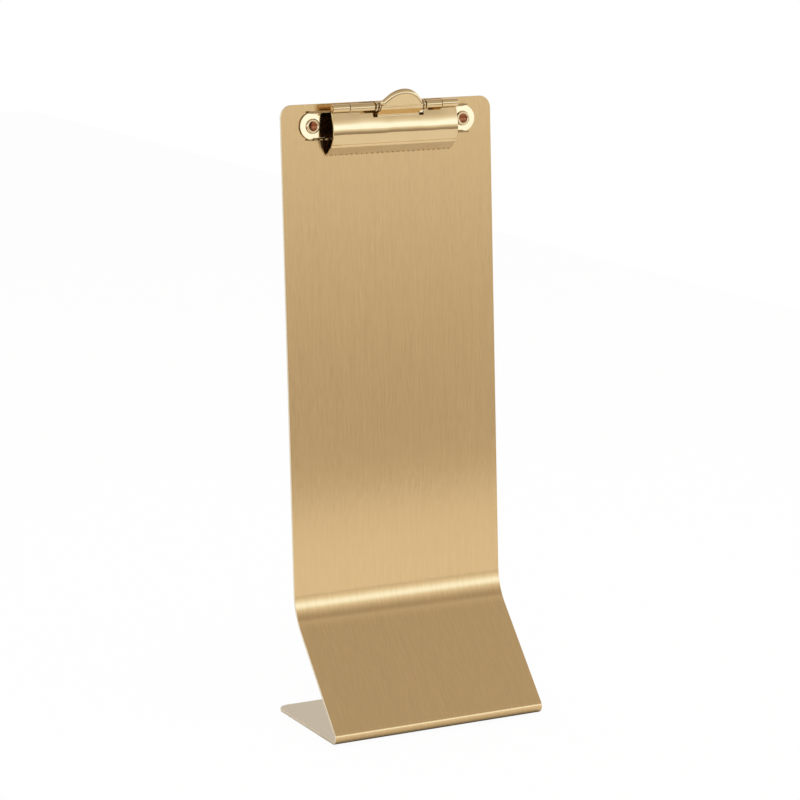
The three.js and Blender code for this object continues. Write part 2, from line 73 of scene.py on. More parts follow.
# %% [markdown]
# ## The camera
#
# The photograph looks slightly down on the front of the stand, from its left. A long lens keeps the
# panel's sides nearly parallel. The camera is placed by an angle round the object, an angle above
# the table and a distance, because those three are what a photographer would set.

# %% Camera
VIEW_ANGLE = math.radians(-27.30)
VIEW_HEIGHT = math.radians(11.52)
VIEW_DISTANCE = 1.4873
VIEW_TARGET = Vector((-0.0071, -0.0035, 0.1678))
FOCAL_LENGTH = 131
SENSOR_WIDTH = 36

camera = bpy.data.objects.new("camera", bpy.data.cameras.new("camera"))
bpy.context.scene.collection.objects.link(camera)
bpy.context.scene.camera = camera
towards_camera = Vector((
    math.sin(VIEW_ANGLE) * math.cos(VIEW_HEIGHT),
    -math.cos(VIEW_ANGLE) * math.cos(VIEW_HEIGHT),
    math.sin(VIEW_HEIGHT),
))
camera.location = VIEW_TARGET + VIEW_DISTANCE * towards_camera
camera.rotation_euler = (-towards_camera).to_track_quat("-Z", "Y").to_euler()
camera.data.sensor_width = SENSOR_WIDTH
camera.data.lens = FOCAL_LENGTH
print("camera at", [round(x, 3) for x in camera.location])

# %% [markdown]
# ## Node maths in Python
#
# A finish is a small calculation that is done at every point of a surface. Wiring it by hand takes a
# node for each plus and times. This class wraps one output of a node, so that Python's own
# operators add those nodes, and its `node` method adds any other kind.

# %% A socket that can be used in sums
class Signal:
    """One output of a shader node. Sums with it add Math nodes to its tree."""

    def __init__(self, tree, socket=None):
        self.tree = tree
        self.socket = socket

    def node(self, kind, settings=None, inputs=None, output=0):
        made = self.tree.nodes.new("ShaderNode" + kind)
        for name, value in (settings or {}).items():
            if name == "stops":
                self.set_stops(made.color_ramp, value)
            else:
                setattr(made, name, value)
        for name, value in (inputs or {}).items():
            if isinstance(value, Signal):
                self.tree.links.new(value.socket, made.inputs[name])
            else:
                made.inputs[name].default_value = value
        return Signal(self.tree, made.outputs[output] if made.outputs else None)

    def set_stops(self, ramp, stops):
        while len(ramp.elements) < len(stops):
            ramp.elements.new(0.5)
        for element, (position, colour) in zip(ramp.elements, stops):
            element.position = position
            element.color = (*colour, 1)

    def math(self, operation, first, second):
        return self.node("Math", {"operation": operation}, {0: first, 1: second})

    def __add__(self, other):
        return self.math("ADD", self, other)

    def __radd__(self, other):
        return self.math("ADD", other, self)

    def __sub__(self, other):
        return self.math("SUBTRACT", self, other)

    def __rsub__(self, other):
        return self.math("SUBTRACT", other, self)

    def __mul__(self, other):
        return self.math("MULTIPLY", self, other)

    def __rmul__(self, other):
        return self.math("MULTIPLY", other, self)


print("a Signal can be added, subtracted and multiplied")

# %% [markdown]
# A few helpers are shared by all the finishes. Every pattern here is noise in the piece's own
# coordinates. Stretching those coordinates draws the noise out into lines, and leaving them even
# gives clouds. A colour always lies between two given ones, and the noise says how far along.

# %% Helpers for finishes
def new_finish(name):
    material = bpy.data.materials.new(name)
    material.use_nodes = True
    material.node_tree.nodes.clear()
    return material, Signal(material.node_tree)


def set_surface(start, shader):
    start.node("OutputMaterial", None, {"Surface": shader})


def grain(start, across, along, detail):
    """Noise drawn out along the sheet: `across` and `along` count its cells in a metre."""
    place = start.node("TexCoord", None, None, "Object")
    stretched = start.node("Mapping", None, {"Vector": place, "Scale": (across, along, along)})
    return start.node("TexNoise", None, {"Vector": stretched, "Scale": 1, "Detail": detail}, "Fac")


def cloud(start, cells, detail):
    """Even noise with about `cells` cells in a metre."""
    return grain(start, cells, cells, detail)


def tint(start, amount, low, high):
    """A colour between `low` and `high`."""
    return start.node("Mix", {"data_type": "RGBA"}, {0: amount, 6: (*low, 1), 7: (*high, 1)}, 2)


print("node helpers are ready")

# %% [markdown]
# ## Brushed brass-coloured sheet
#
# A belt sander runs along the strip before it is bent, so the hairlines follow the strip: up the
# panels and front to back on the base. Noise that is squeezed across the strip and drawn out along
# it gives those lines on every face at once. They change the colour and the roughness a little.
# They also tilt the surface from side to side, which spreads reflections sideways but leaves them
# sharp up and down, as real brushing does. The back of the strip is brushed too, but paler and
# duller.

# %% Brushed finish
BRASS_DARK = (0.64, 0.454, 0.223)
BRASS_LIGHT = (0.85, 0.616, 0.322)
BACK_DARK = (0.58, 0.49, 0.36)
BACK_LIGHT = (0.71, 0.61, 0.46)
FINE_LINES = 2200
FINE_RUN = 130
BROAD_LINES = 700
BROAD_RUN = 26
FINE_SHARE = 0.75
HANDLED_CELLS = 14
BRUSH_STRENGTH = 0.12
BRUSH_DEPTH = 0.0004
LINE_ROUGHNESS = 0.06
HANDLED_ROUGHNESS = 0.04


def brushed_finish(name, dark, light, rough):
    material, start = new_finish(name)
    fine = grain(start, FINE_LINES, FINE_RUN, 3)
    broad = grain(start, BROAD_LINES, BROAD_RUN, 2)
    handled = cloud(start, HANDLED_CELLS, 3)
    lines = FINE_SHARE * fine + (1 - FINE_SHARE) * broad
    relief = start.node("Bump", None, {
        "Strength": BRUSH_STRENGTH, "Distance": BRUSH_DEPTH, "Height": lines,
    })
    set_surface(start, start.node("BsdfPrincipled", None, {
        "Base Color": tint(start, lines, dark, light),
        "Metallic": 1,
        "Roughness": rough + LINE_ROUGHNESS * lines + HANDLED_ROUGHNESS * handled,
        "Normal": relief,
    }))
    return material


brushed_sheet = brushed_finish("brushed_sheet", BRASS_DARK, BRASS_LIGHT, rough=0.1)
sheet_back = brushed_finish("sheet_back", BACK_DARK, BACK_LIGHT, rough=0.3)
print("brushed finishes:", brushed_sheet.name, sheet_back.name)

# %% [markdown]
# ## Sheared edges
#
# The strip's cut edges aren't brushed. A shear leaves them paler than the faces and slightly torn,
# so they get a light colour and a short, uneven grain.

# %% Sheared edge
EDGE_DARK = (0.8, 0.68, 0.48)
EDGE_LIGHT = (0.95, 0.87, 0.7)
TORN_CELLS = 900
TORN_STRENGTH = 0.12
TORN_DEPTH = 0.0002
EDGE_ROUGHNESS = 0.3
TORN_ROUGHNESS = 0.15


def sheared_finish():
    material, start = new_finish("sheared_edge")
    torn = cloud(start, TORN_CELLS, 2)
    relief = start.node("Bump", None, {
        "Strength": TORN_STRENGTH, "Distance": TORN_DEPTH, "Height": torn,
    })
    set_surface(start, start.node("BsdfPrincipled", None, {
        "Base Color": tint(start, torn, EDGE_DARK, EDGE_LIGHT),
        "Metallic": 1,
        "Roughness": EDGE_ROUGHNESS + TORN_ROUGHNESS * torn,
        "Normal": relief,
    }))
    return material


sheared_edge = sheared_finish()
print("edge finish:", sheared_edge.name)

# %% [markdown]
# ## Polished plating
#
# The clip is stamped steel with bright gold-coloured plating. Plated stampings are never flat like
# glass: the press leaves slow waves, which bend the reflections, and handling leaves a faint haze.
# Two soft noises give the waves and the haze. The ears of the base plate are brighter than a flat
# plate would be in this light, perhaps because riveting has dished them. A height that grows
# steadily downwards tips that plate's reflections by the same angle everywhere.

# %% Polished finish
HAZE_CELLS = 120
HAZE_ROUGHNESS = 0.08
WAVE_CELLS = 55
WAVE_HEIGHT = 0.001


def polished_finish(name, low, high, rough, waves, tip=0):
    material, start = new_finish(name)
    haze = cloud(start, HAZE_CELLS, 3)
    wave = cloud(start, WAVE_CELLS, 1)
    relief = start.node("Bump", None, {"Strength": waves, "Distance": WAVE_HEIGHT, "Height": wave})
    if tip:
        place = start.node("TexCoord", None, None, "Object")
        down = start.node("SeparateXYZ", None, {0: place}, "Z") * -math.tan(tip)
        relief = start.node("Bump", None, {"Distance": 1, "Height": down, "Normal": relief})
    set_surface(start, start.node("BsdfPrincipled", None, {
        "Base Color": tint(start, haze, low, high),
        "Metallic": 1,
        "Roughness": rough + HAZE_ROUGHNESS * haze,
        "Normal": relief,
    }))
    return material


print("polished finishes have about", WAVE_CELLS, "waves in a metre")

# %% [markdown]
# The same recipe gives all the clip's finishes. The plating is bright on the faces that were
# polished and satin on the jaw's lip. Inside the jaw and on the base plate's cut edges it is
# painted dark, as painted shade. The wire is duller than the plates. The rivets' hollows are
# coloured a dark reddish brown.

# %% The clip's finishes
PLATING_LOW = (0.73, 0.55, 0.295)
PLATING_HIGH = (0.8, 0.615, 0.345)
PLATE_TIP = math.radians(7)

polished_plate = polished_finish(
    "polished_plate", PLATING_LOW, PLATING_HIGH, rough=0.05, waves=0.5)
riveted_plate = polished_finish(
    "riveted_plate", PLATING_LOW, PLATING_HIGH, rough=0.05, waves=0.5, tip=PLATE_TIP)
# A dark brown plating that paints the shade inside the jaw.
painted_shade_inside = polished_finish(
    "painted_shade_inside", low=(0.16, 0.1, 0.045), high=(0.26, 0.17, 0.08), rough=0.35, waves=0.2)
satin_lip = polished_finish(
    "satin_lip", low=(0.62, 0.5, 0.31), high=(0.7, 0.57, 0.36), rough=0.42, waves=0.2)
spring_wire = polished_finish(
    "spring_wire", low=(0.62, 0.47, 0.27), high=(0.78, 0.6, 0.36), rough=0.16, waves=0.05)
rivet_metal = polished_finish(
    "rivet_metal", low=(0.74, 0.55, 0.3), high=(0.88, 0.69, 0.42), rough=0.1, waves=0.1)
rivet_bore = polished_finish(
    "rivet_bore", low=(0.26, 0.08, 0.03), high=(0.44, 0.16, 0.07), rough=0.25, waves=0.3)
# A dark plating that paints shade along the base plate's cut edges.
plate_edge_painted_shade = polished_finish(
    "plate_edge_painted_shade", low=(0.3, 0.2, 0.09), high=(0.42, 0.29, 0.14), rough=0.3, waves=0.1)
clip_finishes = (polished_plate, riveted_plate, painted_shade_inside, satin_lip, spring_wire, rivet_metal,
                 rivet_bore, plate_edge_painted_shade)
print("polished finishes:", ", ".join(finish.name for finish in clip_finishes))

# %% [markdown]
# ## Folding sheet
#
# Sheet metal is easiest to think of from the side: it runs straight, then bends round a radius, then
# runs straight again. The next two cells do the same to a row of edges across the sheet. All lengths
# are in millimetres until a piece is finished, and a direction is an angle from +Y, the back,
# towards +Z, up. First come some helpers that start a row and pick parts of it.

# %% Rows of edges
UP = math.radians(90)
DOWN = math.radians(-90)
FORWARD = math.radians(180)
SLACK = 0.01


def ray(angle):
    return Vector((math.cos(angle), math.sin(angle)))


def of_kind(parts, kind):
    return [part for part in parts if isinstance(part, kind)]


def start_row(bm, places, point):
    """Edges across the sheet at `point` (back, up), through the given places on X."""
    corners = [bm.verts.new((x, *point)) for x in places]
    return [bm.edges.new(pair) for pair in zip(corners, corners[1:])]


def between(row, low, high):
    """The edges of a row that lie between two places on X."""
    return [e for e in row if all(low - SLACK < v.co.x < high + SLACK for v in e.verts)]


def corners_of(row):
    return list({v for e in row for v in e.verts})


print("places closer than", SLACK, "mm count as the same")

# %% [markdown]
# A run extrudes the row along its heading. A bend spins it round a line across the sheet, in small
# steps. Both leave the fold at the new end, so that runs and bends can be written one after the
# other, in the order in which the sheet would be bent.

# %% Runs and bends
BEND_STEP = math.radians(2.5)
FEWEST_STEPS = 4


class Fold:
    """The working end of a sheet: a row of edges, where it is and which way it is heading."""

    def __init__(self, bm, row, point, heading):
        self.bm = bm
        self.row = row
        self.point = Vector(point)
        self.heading = heading

    def run(self, length):
        step = length * ray(self.heading)
        made = bmesh.ops.extrude_edge_only(self.bm, edges=self.row)["geom"]
        moved = of_kind(made, bmesh.types.BMVert)
        bmesh.ops.translate(self.bm, verts=moved, vec=(0, *step))
        self.row = [e for e in of_kind(made, bmesh.types.BMEdge) if set(e.verts) <= set(moved)]
        self.point += step
        return self

    def bend(self, angle, radius):
        """Turns left for a positive angle and right for a negative one."""
        side = math.copysign(UP, angle)
        centre = self.point + radius * ray(self.heading + side)
        made = bmesh.ops.spin(
            self.bm,
            geom=self.row + corners_of(self.row),
            cent=(0, *centre),
            axis=(1, 0, 0),
            angle=angle,
            steps=max(FEWEST_STEPS, round(abs(angle) / BEND_STEP)),
        )["geom_last"]
        self.row = of_kind(made, bmesh.types.BMEdge)
        self.heading += angle
        self.point = centre - radius * ray(self.heading + side)
        return self


print("folds turn", round(math.degrees(BEND_STEP), 1), "degrees at a time")

# %% [markdown]
# ## Finishing a piece
#
# A folded piece is a skin with no thickness. Its front is turned to face the front of the stand,
# then a Solidify modifier puts the metal behind it, a Bevel modifier eases the sharp edges so that
# they catch the light, and a Weighted Normal modifier keeps the flat parts flat when they are shaded
# smooth. A sheet has three finishes in a row: its front, its back and its cut edge. Each piece rides
# on a body of the frame and stands for one of its solids.

# %% From skin to piece
BACK_FINISH = 1
CUT_FINISH = 2
MERGE_REACH = 0.005
EASED_ANGLE = math.radians(40)
EASED_STEPS = 2


def finish_mesh(name, bm, place, finishes):
    bmesh.ops.transform(bm, matrix=Matrix.Scale(MM, 4) @ place, verts=bm.verts)
    mesh = bpy.data.meshes.new(name)
    bm.to_mesh(mesh)
    bm.free()
    mesh.shade_smooth()
    piece = bpy.data.objects.new(name, mesh)
    bpy.context.scene.collection.objects.link(piece)
    for finish in finishes:
        mesh.materials.append(finish)
    return piece


def close_up(bm):
    bmesh.ops.remove_doubles(bm, verts=bm.verts, dist=MERGE_REACH)
    bmesh.ops.recalc_face_normals(bm, faces=bm.faces)


def face_front(bm):
    facing = sum((face.normal * face.calc_area() for face in bm.faces), Vector())
    if facing.y > 0:
        bmesh.ops.reverse_faces(bm, faces=bm.faces)


def thicken(piece, thickness, easing):
    wall = piece.modifiers.new("thickness", "SOLIDIFY")
    wall.thickness = thickness * MM
    wall.offset = -1
    wall.material_offset = BACK_FINISH
    wall.material_offset_rim = CUT_FINISH
    ease = piece.modifiers.new("eased edges", "BEVEL")
    ease.width = easing * MM
    ease.segments = EASED_STEPS
    ease.limit_method = "ANGLE"
    ease.angle_limit = EASED_ANGLE
    ease.use_clamp_overlap = False
    flat = piece.modifiers.new("flat faces", "WEIGHTED_NORMAL")
    flat.keep_sharp = True


def stand_for(piece, node, body):
    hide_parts(node)
    if body:
        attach(piece, body)
    shown = piece.evaluated_get(bpy.context.evaluated_depsgraph_get()).to_mesh()
    print(piece.name, "stands for", node, "with", len(shown.polygons), "faces")


print("pieces are drawn in millimetres, at a scale of", MM)

# %% [markdown]
# ## The bent stand
#
# The strip is folded from its top edge down: the upper panel, the knee, the lower panel, the foot and
# the base. Folding one row of edges keeps every bend a true round. A bend takes up some of the
# length on either side of the corner that it rounds, so each run is shortened by that setback. The
# four free corners are rounded by a bevel of their vertices, as a corner punch would.

# %% Stand sheet
SHEET_THICKNESS = 1.5
SHEET_EASING = 0.2
UPPER_LENGTH = 260.7
UPPER_LEAN = math.radians(2.87)
LOWER_LENGTH = 77.5
LOWER_LEAN = math.radians(41.9)
BASE_LENGTH = 75.6
KNEE_RADIUS = 29
FOOT_RADIUS = 3.8
SHEET_CORNER = 6.2
CORNER_STEPS = 16

sheet_half = cad_high.x / MM
knee_turn = LOWER_LEAN - UPPER_LEAN
foot_turn = UP + LOWER_LEAN
knee_setback = KNEE_RADIUS * math.tan(knee_turn / 2)
foot_setback = FOOT_RADIUS * math.tan(foot_turn / 2)
foot_front = foot_setback - FOOT_RADIUS
foot_corner = Vector((-(foot_front + BASE_LENGTH) / 2, 0))
knee_corner = foot_corner - LOWER_LENGTH * ray(DOWN - LOWER_LEAN)
panel_top = knee_corner - UPPER_LENGTH * ray(DOWN - UPPER_LEAN)


def round_corners(bm, corners, offset):
    bmesh.ops.bevel(
        bm, geom=corners, offset=offset, offset_type="OFFSET", affect="VERTICES",
        segments=CORNER_STEPS, profile=0.5, material=-1,
    )


def make_stand():
    bm = bmesh.new()
    top = start_row(bm, (-sheet_half, sheet_half), panel_top)
    free_corners = corners_of(top)
    fold = Fold(bm, top, panel_top, DOWN - UPPER_LEAN)
    fold.run(UPPER_LENGTH - knee_setback).bend(-knee_turn, KNEE_RADIUS)
    fold.run(LOWER_LENGTH - knee_setback - foot_setback).bend(foot_turn, FOOT_RADIUS)
    fold.run(BASE_LENGTH - foot_setback)
    free_corners += corners_of(fold.row)
    round_corners(bm, free_corners, SHEET_CORNER)
    close_up(bm)
    face_front(bm)
    stand = finish_mesh("stand", bm, Matrix(), (brushed_sheet, sheet_back, sheared_edge))
    thicken(stand, SHEET_THICKNESS, SHEET_EASING)
    stand_for(stand, "stand_sheet", "stand")


make_stand()

# %% [markdown]
# ## The clip's own frame
#
# Everything on the clip is measured down the upper panel from its top edge, and out from its front
# face. So the clip is drawn upright, with that edge at the origin, and one matrix leans it back
# with the panel.

# %% Clip frame
HINGE_DROP = 2.3
HINGE_STANDOFF = 9
CLIP_SHEET = 0.8
CLIP_EASING = 0.1
SEAT_GAP = 0.3
KNUCKLE_BORE = 1.25
KNUCKLE_SPLIT = 26.1
CURL = math.radians(280)
JAW_HALF = 35.5
TOOTH_PITCH = 3

clip_place = Matrix.Translation((0, *panel_top)) @ Matrix.Rotation(-UPPER_LEAN, 4, "X")
hinge = Vector((-HINGE_STANDOFF, -HINGE_DROP))
knuckle_radius = KNUCKLE_BORE + CLIP_SHEET


def cut_columns(bm, faces, places):
    """Cuts the faces across at the given places on X, so that their edge can be shaped."""
    for x in places:
        valid = [face for face in faces if face.is_valid]
        near = list({part for face in valid for part in (face, *face.edges, *face.verts)})
        cut = bmesh.ops.bisect_plane(bm, geom=near, plane_co=(x, 0, 0), plane_no=(1, 0, 0))
        faces = list(set(faces) | set(of_kind(cut["geom"], bmesh.types.BMFace)))
    return [face for face in faces if face.is_valid]


print("hinge line at", [round(x, 2) for x in clip_place @ Vector((0, *hinge))], "mm")

# %% [markdown]
# ## The clip's base plate
#
# One stamping: a flat plate with round ears for the rivets, a flange along its top that runs forward
# and curls round the pin in two places, and a low toothed lip along its bottom. It is folded up
# and down from the line through its rivets. Each ear is a line of vertices that is spun half round
# its rivet. The flange and the lip reach a little past that line, so their ends are carried
# outwards as wings.

# %% Wings and ears
RIVET_HALF = 42.9
RIVET_DROP = 11
EAR_RADIUS = 7
EAR_STEPS = 36
PLATE_BEND = 0.6
LIP_DROP = 17.5

plate_front = -(SEAT_GAP + CLIP_SHEET)
flange_drop = HINGE_DROP + knuckle_radius
rivet_line = Vector((plate_front, -RIVET_DROP))
upper_flat = RIVET_DROP - flange_drop - PLATE_BEND
lower_flat = LIP_DROP - PLATE_BEND - RIVET_DROP


def spread_wings(bm, row_back, row_front, length):
    """Carries the two ends of the strip between two rows outwards, past the last column."""
    ends = [e for v in corners_of(row_front) if abs(abs(v.co.x) - RIVET_HALF) < SLACK
            for e in v.link_edges if e.other_vert(v) in corners_of(row_back)]
    faces, fronts = [], []
    for edge in ends:
        outward = math.copysign(length, edge.verts[0].co.x)
        made = bmesh.ops.extrude_edge_only(bm, edges=[edge])["geom"]
        moved = of_kind(made, bmesh.types.BMVert)
        bmesh.ops.translate(bm, verts=moved, vec=(outward, 0, 0))
        faces += of_kind(made, bmesh.types.BMFace)
        fronts.append(min(moved, key=lambda v: v.co.y))
    return faces, fronts


def spin_ear(bm, side):
    reaches = (0, min(upper_flat, lower_flat), max(upper_flat, lower_flat), EAR_RADIUS)
    x = side * RIVET_HALF
    spokes = [bm.verts.new((x, plate_front, reach - RIVET_DROP)) for reach in reaches]
    lines = [bm.edges.new(pair) for pair in zip(spokes, spokes[1:])]
    bmesh.ops.spin(
        bm, geom=spokes + lines, cent=spokes[0].co, axis=(0, 1, 0), angle=side * math.pi,
        steps=EAR_STEPS,
    )


print("the plate is flat for", round(upper_flat + lower_flat, 2), "mm between its two bends")

# %% [markdown]
# The flange is cut back between the inner knuckles, where the spring's coils lie, and tapers towards
# the ears. Its knuckles go on from its front edge. The lip's faces are cut into columns, and every
# other corner of its edge is drawn back to leave the teeth.

# %% Flange, knuckles and lip
FLANGE_DEPTH = 6.4
FLANGE_END_DEPTH = 1.8
FLANGE_WING = 2.4
BAY_LEFT = -12.4
BAY_RIGHT = 17.3
BAY_FLANGE_DEPTH = 4.6
BAY_CORNER = 0.4
LIP_HEIGHT = 3
LIP_WING = 2.9
LIP_TOOTH_DEPTH = 0.6


def flange_depth(x):
    """How far forward the flange reaches: full behind the jaw, less in the bay and at the ends."""
    if BAY_LEFT + BAY_CORNER / 2 < x < BAY_RIGHT - BAY_CORNER / 2:
        return BAY_FLANGE_DEPTH
    past_jaw = max(0, abs(x) - JAW_HALF) / (RIVET_HALF + FLANGE_WING - JAW_HALF)
    return FLANGE_DEPTH + past_jaw * (FLANGE_END_DEPTH - FLANGE_DEPTH)


def fold_flange(bm, row):
    flange = Fold(bm, row, rivet_line, UP)
    flange.run(min(upper_flat, lower_flat)).run(abs(upper_flat - lower_flat))
    flange.bend(UP, PLATE_BEND)
    back = flange.row
    flange.run(FLANGE_DEPTH + flange.point.x)
    wing_tips = spread_wings(bm, back, flange.row, FLANGE_WING)[1]
    for corner in corners_of(flange.row) + wing_tips:
        corner.co.y = -flange_depth(corner.co.x)
    return flange


def curl_knuckles(bm, flange):
    for left, right in ((-KNUCKLE_SPLIT, BAY_LEFT), (BAY_RIGHT, KNUCKLE_SPLIT)):
        knuckle = Fold(bm, between(flange.row, left, right), flange.point, FORWARD)
        knuckle.run(HINGE_STANDOFF - FLANGE_DEPTH).bend(-CURL, knuckle_radius)


def fold_stop_lip(bm, row):
    lip = Fold(bm, row, rivet_line, DOWN)
    lip.run(lower_flat).bend(-UP, PLATE_BEND)
    back = lip.row
    lip.run(LIP_HEIGHT + lip.point.x)
    faces = [face for edge in lip.row for face in edge.link_faces]
    faces += spread_wings(bm, back, lip.row, LIP_WING)[0]
    half = RIVET_HALF + LIP_WING
    teeth = round(2 * half / TOOTH_PITCH)
    faces = cut_columns(bm, faces, [half * (k / teeth - 1) for k in range(1, 2 * teeth)])
    for corner in {v for face in faces for v in face.verts}:
        step = (corner.co.x / half + 1) * teeth
        if corner.co.y < SLACK - LIP_HEIGHT and round(step) % 2 == 0:
            corner.co.y += LIP_TOOTH_DEPTH
    print("the stop lip has", teeth, "teeth")


print("the flange is", flange_depth(JAW_HALF), "mm deep, and", flange_depth(0), "mm in the bay")

# %% [markdown]
# The plate's columns are the places where something starts or ends: the rivets, the jaw, the
# knuckles and the bay. The cut edges are painted darker than the plating, as painted shade.

# %% Base plate
def make_base_plate():
    bm = bmesh.new()
    columns = (-RIVET_HALF, -JAW_HALF, -KNUCKLE_SPLIT, BAY_LEFT, BAY_LEFT + BAY_CORNER,
               BAY_RIGHT - BAY_CORNER, BAY_RIGHT, KNUCKLE_SPLIT, JAW_HALF, RIVET_HALF)
    middle = start_row(bm, columns, rivet_line)
    flange = fold_flange(bm, middle)
    fold_stop_lip(bm, middle)
    curl_knuckles(bm, flange)
    for side in (-1, 1):
        spin_ear(bm, side)
    close_up(bm)
    face_front(bm)
    # The cut edges take the dark finish: painted shade along the plate's edges.
    plate = finish_mesh("base_plate", bm, clip_place, (riveted_plate, polished_plate, plate_edge_painted_shade))
    thicken(plate, CLIP_SHEET, CLIP_EASING)
    stand_for(plate, "clip_base_plate", "stand")


make_base_plate()

# %% [markdown]
# ## The jaw
#
# The second stamping. Seen from the side it curls round the pin, drops along a neck that swells
# gently into a round bow, and creases into a flat lip, whose edge is cut into small arched teeth. A
# fine line is pressed just above the crease. The folds start on the line where the neck meets the
# bow: one goes down to the teeth, one goes up either side, and one goes up the thumb tab. That line
# is found from both ends: it is where the neck, coming down from the pin, meets the bow, going up
# from the crease.

# %% Jaw profile
NECK_ANGLE = math.radians(14.5)
SWELL_TURN = math.radians(8.5)
SWELL_RADIUS = 36
BOW_RADIUS = 9.8
BOW_END_ANGLE = math.radians(25)
CREASE = Vector((-7.3, -22.1))
JAW_TIP = Vector((-0.8, -27.1))

neck_down = DOWN - NECK_ANGLE
swell_down = neck_down + SWELL_TURN
bow_down = DOWN + BOW_END_ANGLE
lip_down = math.atan2(JAW_TIP.y - CREASE.y, JAW_TIP.x - CREASE.x)
neck_start = hinge + KNUCKLE_BORE * ray(neck_down + UP)


def crossing(point, heading, other, other_heading):
    """Where two lines seen from the side meet."""
    across = ray(other_heading + UP)
    return point + ray(heading) * ((other - point).dot(across) / ray(heading).dot(across))


def carried(heading, next_heading, radius):
    """How far a bend to the left carries the sheet."""
    return radius * (ray(heading + UP) - ray(next_heading + UP))


bow = carried(neck_down, swell_down, SWELL_RADIUS) + carried(swell_down, bow_down, BOW_RADIUS)
bow_top = crossing(neck_start, neck_down, CREASE - bow, bow_down)
print("the bow starts", [round(x, 2) for x in bow_top], "from the panel's top edge, in mm")

# %% [markdown]
# The thumb tab leaves the neck in a sharp fold, runs forward, turns up and has a shallow groove above
# that turn. Its top is a low gable: the middle of the end is pulled up, and its peak and shoulders are
# bevelled into an arch. The arch's edge is turned back into a rim, and the corner between the two
# is rolled round.

# %% Thumb tab
TAB_CENTRE = 1.8
TAB_HALF = 11.8
TAB_ROOT_DROP = 6.7
TAB_ROOT_LEAN = math.radians(55.4)
TAB_ROOT_LENGTH = 5.29
TAB_ROOT_RADIUS = 1
TAB_BELLY_RADIUS = 2
TAB_LEAN = math.radians(28)
TAB_STEP = 0.3
TAB_GROOVE = math.radians(18)
GROOVE_BELOW = 1
GROOVE_ABOVE = 2.5
TAB_TOP = 10.15
PEAK_SHARE = 0.7
SHOULDER_ROUND = 1.1
SHOULDER_RUN = 1.1 * SHOULDER_ROUND
RIM_RUN = 1.05 * SHOULDER_ROUND
RIM_DEPTH = 2.4
RIM_ROUND = 2.2
RIM_STEPS = 6

tab_root = crossing(Vector((0, -TAB_ROOT_DROP)), FORWARD, neck_start, neck_down)
tab_belly = tab_root + TAB_ROOT_LENGTH * ray(UP + TAB_ROOT_LEAN)
belly_setback = TAB_BELLY_RADIUS * math.tan((TAB_ROOT_LEAN - TAB_LEAN) / 2)


def fold_tab(bm, row):
    fold_turn = TAB_ROOT_LEAN + NECK_ANGLE
    root_setback = TAB_ROOT_RADIUS * math.tan(fold_turn / 2)
    tab = Fold(bm, row, bow_top, neck_down + math.pi)
    tab.run((tab_root - bow_top).length - root_setback).bend(fold_turn, TAB_ROOT_RADIUS)
    tab.run(TAB_ROOT_LENGTH - root_setback - belly_setback)
    tab.bend(TAB_LEAN - TAB_ROOT_LEAN, TAB_BELLY_RADIUS).run(TAB_STEP)
    tab.bend(-TAB_GROOVE, GROOVE_BELOW).bend(TAB_GROOVE, GROOVE_ABOVE).run(SHOULDER_RUN)
    raise_arch(bm, tab)
    roll_rim(bm, tab)


def raise_arch(bm, tab):
    """Bevels take their share of a slope off its peak, so the gable starts higher than the arch."""
    made = bmesh.ops.subdivide_edges(bm, edges=tab.row, cuts=1)["geom_inner"]
    peak = of_kind(made, bmesh.types.BMVert)
    cut_off = PEAK_SHARE * (2 - math.sqrt(2))
    gable = (TAB_TOP - (tab.point - tab_belly).length) / (1 - cut_off)
    bmesh.ops.translate(bm, verts=peak, vec=(0, *(gable * ray(tab.heading))))
    slope = math.hypot(TAB_HALF, gable)
    round_corners(bm, peak, PEAK_SHARE * slope)
    shoulders = [v for v in bm.verts if (v.co.yz - tab.point).length < SLACK]
    round_corners(bm, shoulders, SHOULDER_ROUND)


def roll_rim(bm, tab):
    up = ray(tab.heading)
    foot = tab.point.dot(up) - RIM_RUN
    arch = [e for e in bm.edges if e.is_boundary and all(v.co.yz.dot(up) > foot for v in e.verts)]
    made = bmesh.ops.extrude_edge_only(bm, edges=arch)["geom"]
    back = RIM_DEPTH * ray(tab.heading - UP)
    bmesh.ops.translate(bm, verts=of_kind(made, bmesh.types.BMVert), vec=(0, *back))
    bmesh.ops.bevel(
        bm, geom=arch, offset=RIM_ROUND, offset_type="OFFSET", affect="EDGES",
        segments=RIM_STEPS, profile=0.5, material=-1,
    )
    print("the rim follows", len(arch), "edges of the tab")


print("the tab leaves the neck", [round(x, 2) for x in tab_root], "from the panel's top edge, in mm")

# %% [markdown]
# Below the bow the sheet steps over the pressed line and the crease, and runs along the lip. The
# lip's end is cut into columns, and each tooth's corners are drawn back along an arch. Above the bow
# there is a window in the middle for the spring, so only the two ends go on and curl round the pin.

# %% Lip, sides and knuckles
LINE_ANGLE = math.radians(36)
LINE_RADIUS = 0.9
LINE_LAND = 0.7
CREASE_RADIUS = 1
JAW_TOOTH_DEPTH = 1.8
TOOTH_CUTS = 4
WINDOW_DROP = 5.4
# The backs of the jaw's body and lip take the dark brown finish, which paints the shade inside the
# jaw.
BODY_FINISHES = (polished_plate, painted_shade_inside, polished_plate)
LIP_FINISHES = (satin_lip, painted_shade_inside, satin_lip)
TOP_FINISHES = (polished_plate, polished_plate, polished_plate)
LIP_ZONE = len(BODY_FINISHES)
TOP_ZONE = LIP_ZONE + len(LIP_FINISHES)


